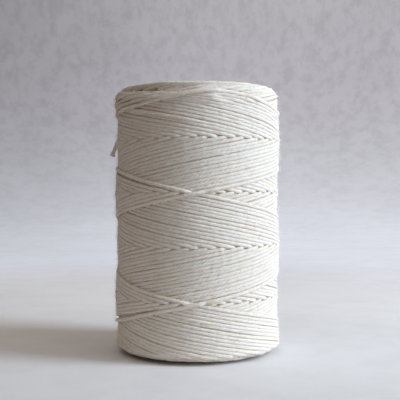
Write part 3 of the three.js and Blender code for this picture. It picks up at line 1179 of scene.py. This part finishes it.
class SPOOL_OT_loose_end(bpy.types.Operator):
    """Let the thread's cut end hang from the last turn"""

    bl_idname = "spool.loose_end"
    bl_label = "Loose end"

    STEP = 0.4 * MM
    THIN = 9 * MM  # from the tip, where the thread has lost some of its twist and thickness
    FORK = 1.6 * MM  # from the tip, where the plies part
    FORK_SPREAD = (0.9 * MM, -0.2 * MM, -0.3 * MM)
    FORK_START = 0.4 * MM  # further from the tip, inside the thread
    GAUGE = 0.9  # where it leaves the package, as a share of the thread's size
    THINNED_BY = 0.42
    PARTED_BY = 0.26
    FORK_GAUGE = (0.27, 0.19)  # at its root and at its tip

    def execute(self, context):
        thread = context.scene.spool_thread
        path = smooth_path(loose_end_points(), self.STEP)
        material = thread_material(thread.clean, thread.deep)
        reach = np.cumsum(np.linalg.norm(np.diff(path, axis=0, prepend=path[:1]), axis=1))
        from_tip = reach[-1] - reach
        parted_off = np.clip(1 - from_tip / self.FORK, 0, 1)
        thinned = np.clip(1 - from_tip / self.THIN, 0, 1)
        gauge = self.GAUGE - self.THINNED_BY * np.sqrt(thinned) - self.PARTED_BY * np.sqrt(parted_off)
        source = route_object([(path, gauge)])
        piece = run_tree(
            "loose_end_thread", source, thread_tree(), diameter=thread.diameter, lay=thread.lay, sides=24,
            ply_depth=0.1, packed=0.0, material=material,
        )
        settle(piece, "thread", "loose_end")
        fork = self.fork(path, from_tip, thread, material)
        return {"FINISHED"}

    def fork(self, path, from_tip, thread, material):
        """The plies that have come apart from the others at the cut end."""
        stretch = path[from_tip < self.FORK + self.FORK_START]
        leaving = np.linspace(0, 1, len(stretch))[:, None] ** 1.2
        stretch = stretch + leaving * np.array(self.FORK_SPREAD)
        root, tip = self.FORK_GAUGE
        source = route_object([(stretch, tip + (root - tip) * (1 - leaving[:, 0]))])
        piece = run_tree(
            "loose_end_fork", source, thread_tree(), diameter=thread.diameter, lay=thread.lay / 2,
            plies=2, sides=16, ply_depth=0.12, packed=0.0, material=material,
        )
        return settle(piece, "thread")


class SPOOL_OT_core_tube(bpy.types.Operator):
    """Make the spiral-wound cardboard tube"""

    bl_idname = "spool.core_tube"
    bl_label = "Core tube"

    SEGMENTS = 144
    ROWS = 60
    SEAM_DEPTH = 0.18 * MM
    SEAM_WIDTH = 0.9 * MM
    EDGE = 0.3 * MM

    def execute(self, context):
        tube = context.scene.spool_tube
        wall = [
            (TUBE_RADIUS - self.EDGE, TUBE_LOW),
            (TUBE_RADIUS, TUBE_LOW + self.EDGE),
            (TUBE_RADIUS, TUBE_HIGH - self.EDGE),
            (TUBE_RADIUS - self.EDGE, TUBE_HIGH),
            (tube.bore_radius + self.EDGE, TUBE_HIGH),
        ]
        low = TUBE_LOW + self.EDGE
        high = TUBE_HIGH - self.EDGE
        bore = [
            (tube.bore_radius, high + (low - high) * k / self.ROWS) for k in range(self.ROWS + 1)
        ]
        profile = [*wall, *bore, (tube.bore_radius + self.EDGE, TUBE_LOW)]
        piece = turned_mesh("core_tube_board", profile, self.SEGMENTS, board_material(tube.board))
        for vertex in piece.data.vertices:
            self.press_seam(vertex, tube)
        settle(piece, "cardboard", "core_tube")
        return {"FINISHED"}

    def press_seam(self, vertex, tube):
        """Sinks the bore's surface where the edges of the wound strip meet."""
        place = vertex.co
        radius = math.hypot(place.x, place.y)
        if radius > tube.bore_radius + self.EDGE / 2:
            return
        turn = math.atan2(place.y, place.x) / (2 * math.pi)
        off = (place.z / tube.ply_width - turn) % 1.0
        off = min(off, 1 - off) * tube.ply_width
        sunk = self.SEAM_DEPTH * math.exp(-((off / self.SEAM_WIDTH) ** 2))
        place.x *= (radius + sunk) / radius
        place.y *= (radius + sunk) / radius


def floor_material(stage):
    """Pale mottled plaster. The floor near the package shows its own shade and the package's shadow, and is
    painted lighter further back. Further off, the floor and the wall glow for the camera in a painted fall
    of light, darker upwards and to the left. To the lamps' light both return the warmer tone of a room."""
    material, tree = new_material("Pale plaster")
    place = add_node(tree, "ShaderNodeTexCoord").outputs["Object"]
    long = add_node(tree, "ShaderNodeMapping", {"Vector": place, "Scale": (1.0, 1.0, 0.45)})
    blots = add_node(
        tree,
        "ShaderNodeTexNoise",
        {"Vector": long.outputs[0], "Scale": 48.0, "Detail": 4.0, "Roughness": 0.65},
    ).outputs[0]
    clouds = add_node(
        tree, "ShaderNodeTexNoise", {"Vector": place, "Scale": 9.0, "Detail": 2.0}
    ).outputs[0]
    blot = add_node(
        tree,
        "ShaderNodeMapRange",
        {"Value": blots, "From Min": 0.36, "From Max": 0.56, "To Min": 0.88, "To Max": 1.0},
    ).outputs[0]
    cloud = add_node(
        tree,
        "ShaderNodeMapRange",
        {"Value": clouds, "From Min": 0.3, "From Max": 0.7, "To Min": 0.965, "To Max": 1.02},
    ).outputs[0]
    part = add_node(tree, "ShaderNodeSeparateXYZ", {0: place}).outputs
    out = add_node(tree, "ShaderNodeVectorMath", {0: place}, operation="LENGTH")
    far = add_node(
        tree,
        "ShaderNodeMapRange",
        {"Value": out.outputs["Value"], "From Min": stage.near, "From Max": stage.far},
        interpolation_type="SMOOTHSTEP",
    ).outputs[0]
    calm = add_node(
        tree, "ShaderNodeMapRange", {"Value": part["Z"], "From Max": 0.25, "To Min": 0.65, "To Max": 0.0}
    ).outputs[0]
    blot = maths(tree, "MULTIPLY_ADD", maths(tree, "SUBTRACT", 1.0, blot), calm, blot)
    mottle = maths(tree, "MULTIPLY", blot, cloud)
    # Painted light on the glowing wall: brighter to the right, darker upwards.
    across = maths(tree, "MULTIPLY_ADD", part["X"], stage.across, 1.0)
    across = maths(tree, "MINIMUM", maths(tree, "MAXIMUM", across, 0.68), 1.05)
    fall = maths(tree, "POWER", math.exp(-1 / stage.dusk), part["Z"])
    high = add_node(
        tree,
        "ShaderNodeMix",
        {"Factor": fall, 6: (*stage.wall, 1), 7: (*stage.skirting, 1)},
        data_type="RGBA",
    )
    shade = maths(tree, "MULTIPLY", mottle, across)
    wall = add_node(
        tree, "ShaderNodeVectorMath", {0: high.outputs[2], "Scale": shade}, operation="SCALE"
    )
    # Painted light on the floor: lighter further back.
    back = maths(tree, "MULTIPLY_ADD", part["Y"], stage.deepening, 1.0)
    back = maths(tree, "MINIMUM", maths(tree, "MAXIMUM", back, 0.9), 1.2)
    shade = maths(tree, "MULTIPLY", mottle, back)
    seen = add_node(
        tree, "ShaderNodeVectorMath", {0: tuple(stage.floor), "Scale": shade}, operation="SCALE"
    )
    path = add_node(tree, "ShaderNodeLightPath").outputs
    ray = maths(tree, "MAXIMUM", path["Is Camera Ray"], path["Is Glossy Ray"])
    ray = maths(tree, "MAXIMUM", ray, path["Is Transmission Ray"])
    beyond = add_node(
        tree,
        "ShaderNodeMapRange",
        {"Value": out.outputs["Value"], "From Min": 0.05, "From Max": stage.glow},
        interpolation_type="SMOOTHSTEP",
    ).outputs[0]
    given_back = add_node(
        tree,
        "ShaderNodeMix",
        {"Factor": beyond, 6: (*stage.bounce, 1), 7: (*stage.room, 1)},
        data_type="RGBA",
    )
    colour = add_node(
        tree,
        "ShaderNodeMix",
        {"Factor": ray, 6: given_back.outputs[2], 7: seen.outputs[0]},
        data_type="RGBA",
    )
    floor = add_node(
        tree,
        "ShaderNodeBsdfPrincipled",
        {"Base Color": colour.outputs[2], "Roughness": 0.95, "Specular IOR Level": 0.2},
    )
    # For the camera, the far floor and the wall glow in this painted fall of light.
    plain = add_node(tree, "ShaderNodeEmission", {"Color": wall.outputs[0], "Strength": 1.0})
    share = maths(tree, "MULTIPLY", far, ray)
    both = add_node(tree, "ShaderNodeMixShader", {0: share, 1: floor.outputs[0], 2: plain.outputs[0]})
    finish_material(tree, both)
    return material


class SPOOL_OT_stage(bpy.types.Operator):
    """Set the floor, the lamps and the camera"""

    bl_idname = "spool.stage"
    bl_label = "Stage"

    FLAT = 0.8  # radius of the flat floor
    SWEEP = 0.65  # radius of its rise to the wall
    WALL = 1.5  # height of the wall
    SEGMENTS = 96
    AIM = Vector((0, 0, 0.05))  # of the lamps
    LAMPS = [  # name, place, size, watts, colour
        ("Window", (0.78, -0.209, 0.41), (0.31, 0.6), 7.7, (0.815, 0.91, 1.0)),
        ("Room side", (0.685, -0.535, 0.28), (0.5, 0.5), 1.4, (0.83, 0.92, 1.0)),
    ]
    LOOK = Vector((0.001, 0, -3.2 * MM))  # where the camera looks, from the axis at its own height

    def execute(self, context):
        stage = context.scene.spool_stage
        self.floor(stage)
        self.lamps(stage)
        self.camera(context.scene, stage)
        context.scene.view_settings.view_transform = "Standard"
        return {"FINISHED"}

    def floor(self, stage):
        material = floor_material(stage)
        profile = [
            (0.001, 0.0),
            (self.FLAT, 0.0),
            *arc_points((self.FLAT, self.SWEEP), self.SWEEP, -90, 0, 24)[1:],
            (self.FLAT + self.SWEEP, self.WALL),
        ]
        shape = bmesh.new()
        rings = []
        for k in range(self.SEGMENTS):
            turn = 2 * math.pi * k / self.SEGMENTS
            rings.append([shape.verts.new((r * math.cos(turn), r * math.sin(turn), z)) for r, z in profile])
        for k, ring in enumerate(rings):
            beside = rings[(k + 1) % len(rings)]
            for i in range(len(profile) - 1):
                shape.faces.new((ring[i], beside[i], beside[i + 1], ring[i + 1]))
        shape.faces.new([ring[0] for ring in rings])
        mesh = bpy.data.meshes.new("floor")
        shape.to_mesh(mesh)
        shape.free()
        mesh.materials.append(material)
        mesh.shade_smooth()
        made = bpy.data.objects.new("floor", mesh)
        bpy.context.scene.collection.objects.link(made)

    def lamps(self, stage):
        for lamp in self.LAMPS:
            self.lamp(*lamp)
        world = bpy.data.worlds.new("Room light")
        world.use_nodes = True
        world.node_tree.nodes["Background"].inputs["Color"].default_value = (*stage.sky, 1)
        world.node_tree.nodes["Background"].inputs["Strength"].default_value = stage.sky_strength
        bpy.context.scene.world = world

    def lamp(self, name, place, size, watts, colour):
        data = bpy.data.lights.new(name, "AREA")
        data.shape = "RECTANGLE"
        data.size, data.size_y = size
        data.energy = watts
        data.color = colour
        made = bpy.data.objects.new(name, data)
        made.location = place
        made.rotation_euler = (self.AIM - Vector(place)).to_track_quat("-Z", "Y").to_euler()
        made.visible_camera = False
        bpy.context.scene.collection.objects.link(made)

    def camera(self, scene, stage):
        data = bpy.data.cameras.new("Camera")
        data.lens = stage.lens
        data.clip_start = 0.01
        made = bpy.data.objects.new("Camera", data)
        place = Vector((0, -stage.distance, stage.eye_height))
        aim = self.LOOK + Vector((0, 0, stage.eye_height))
        made.location = place
        made.rotation_euler = (aim - place).to_track_quat("-Z", "Y").to_euler()
        scene.collection.objects.link(made)
        scene.camera = made


class SPOOL_PT_panel(bpy.types.Panel):
    """The spool's sizes and the steps that build it"""

    bl_label = "Thread spool"
    bl_idname = "SPOOL_PT_panel"
    bl_space_type = "VIEW_3D"
    bl_region_type = "UI"
    bl_category = "Spool"

    def draw(self, context):
        for group in (
            context.scene.spool_thread,
            context.scene.spool_winding,
            context.scene.spool_tube,
            context.scene.spool_stage,
        ):
            box = self.layout.box()
            for name in group.__annotations__:
                box.prop(group, name)
        for step in STEPS:
            self.layout.operator(step.bl_idname)


STEPS = (
    SPOOL_OT_stage,
    SPOOL_OT_loose_end,
    SPOOL_OT_winding_bed,
    SPOOL_OT_wound_turns,
    SPOOL_OT_loose_fibres,
    SPOOL_OT_end_turns,
    SPOOL_OT_core_tube,
)
SETTINGS = {
    "spool_thread": ThreadSettings,
    "spool_winding": WindingSettings,
    "spool_tube": TubeSettings,
    "spool_stage": StageSettings,
}


def register():
    for kind in (*SETTINGS.values(), *STEPS, SPOOL_PT_panel):
        bpy.utils.register_class(kind)
    for name, kind in SETTINGS.items():
        setattr(bpy.types.Scene, name, bpy.props.PointerProperty(type=kind))


def unregister():
    for name in SETTINGS:
        delattr(bpy.types.Scene, name)
    for kind in (SPOOL_PT_panel, *reversed(STEPS), *reversed(tuple(SETTINGS.values()))):
        bpy.utils.unregister_class(kind)


def main():
    register()
    for step in STEPS:
        group, name = step.bl_idname.split(".")
        getattr(getattr(bpy.ops, group), name)()
    bpy.context.view_layer.update()


if __name__ == "__main__":
    main()
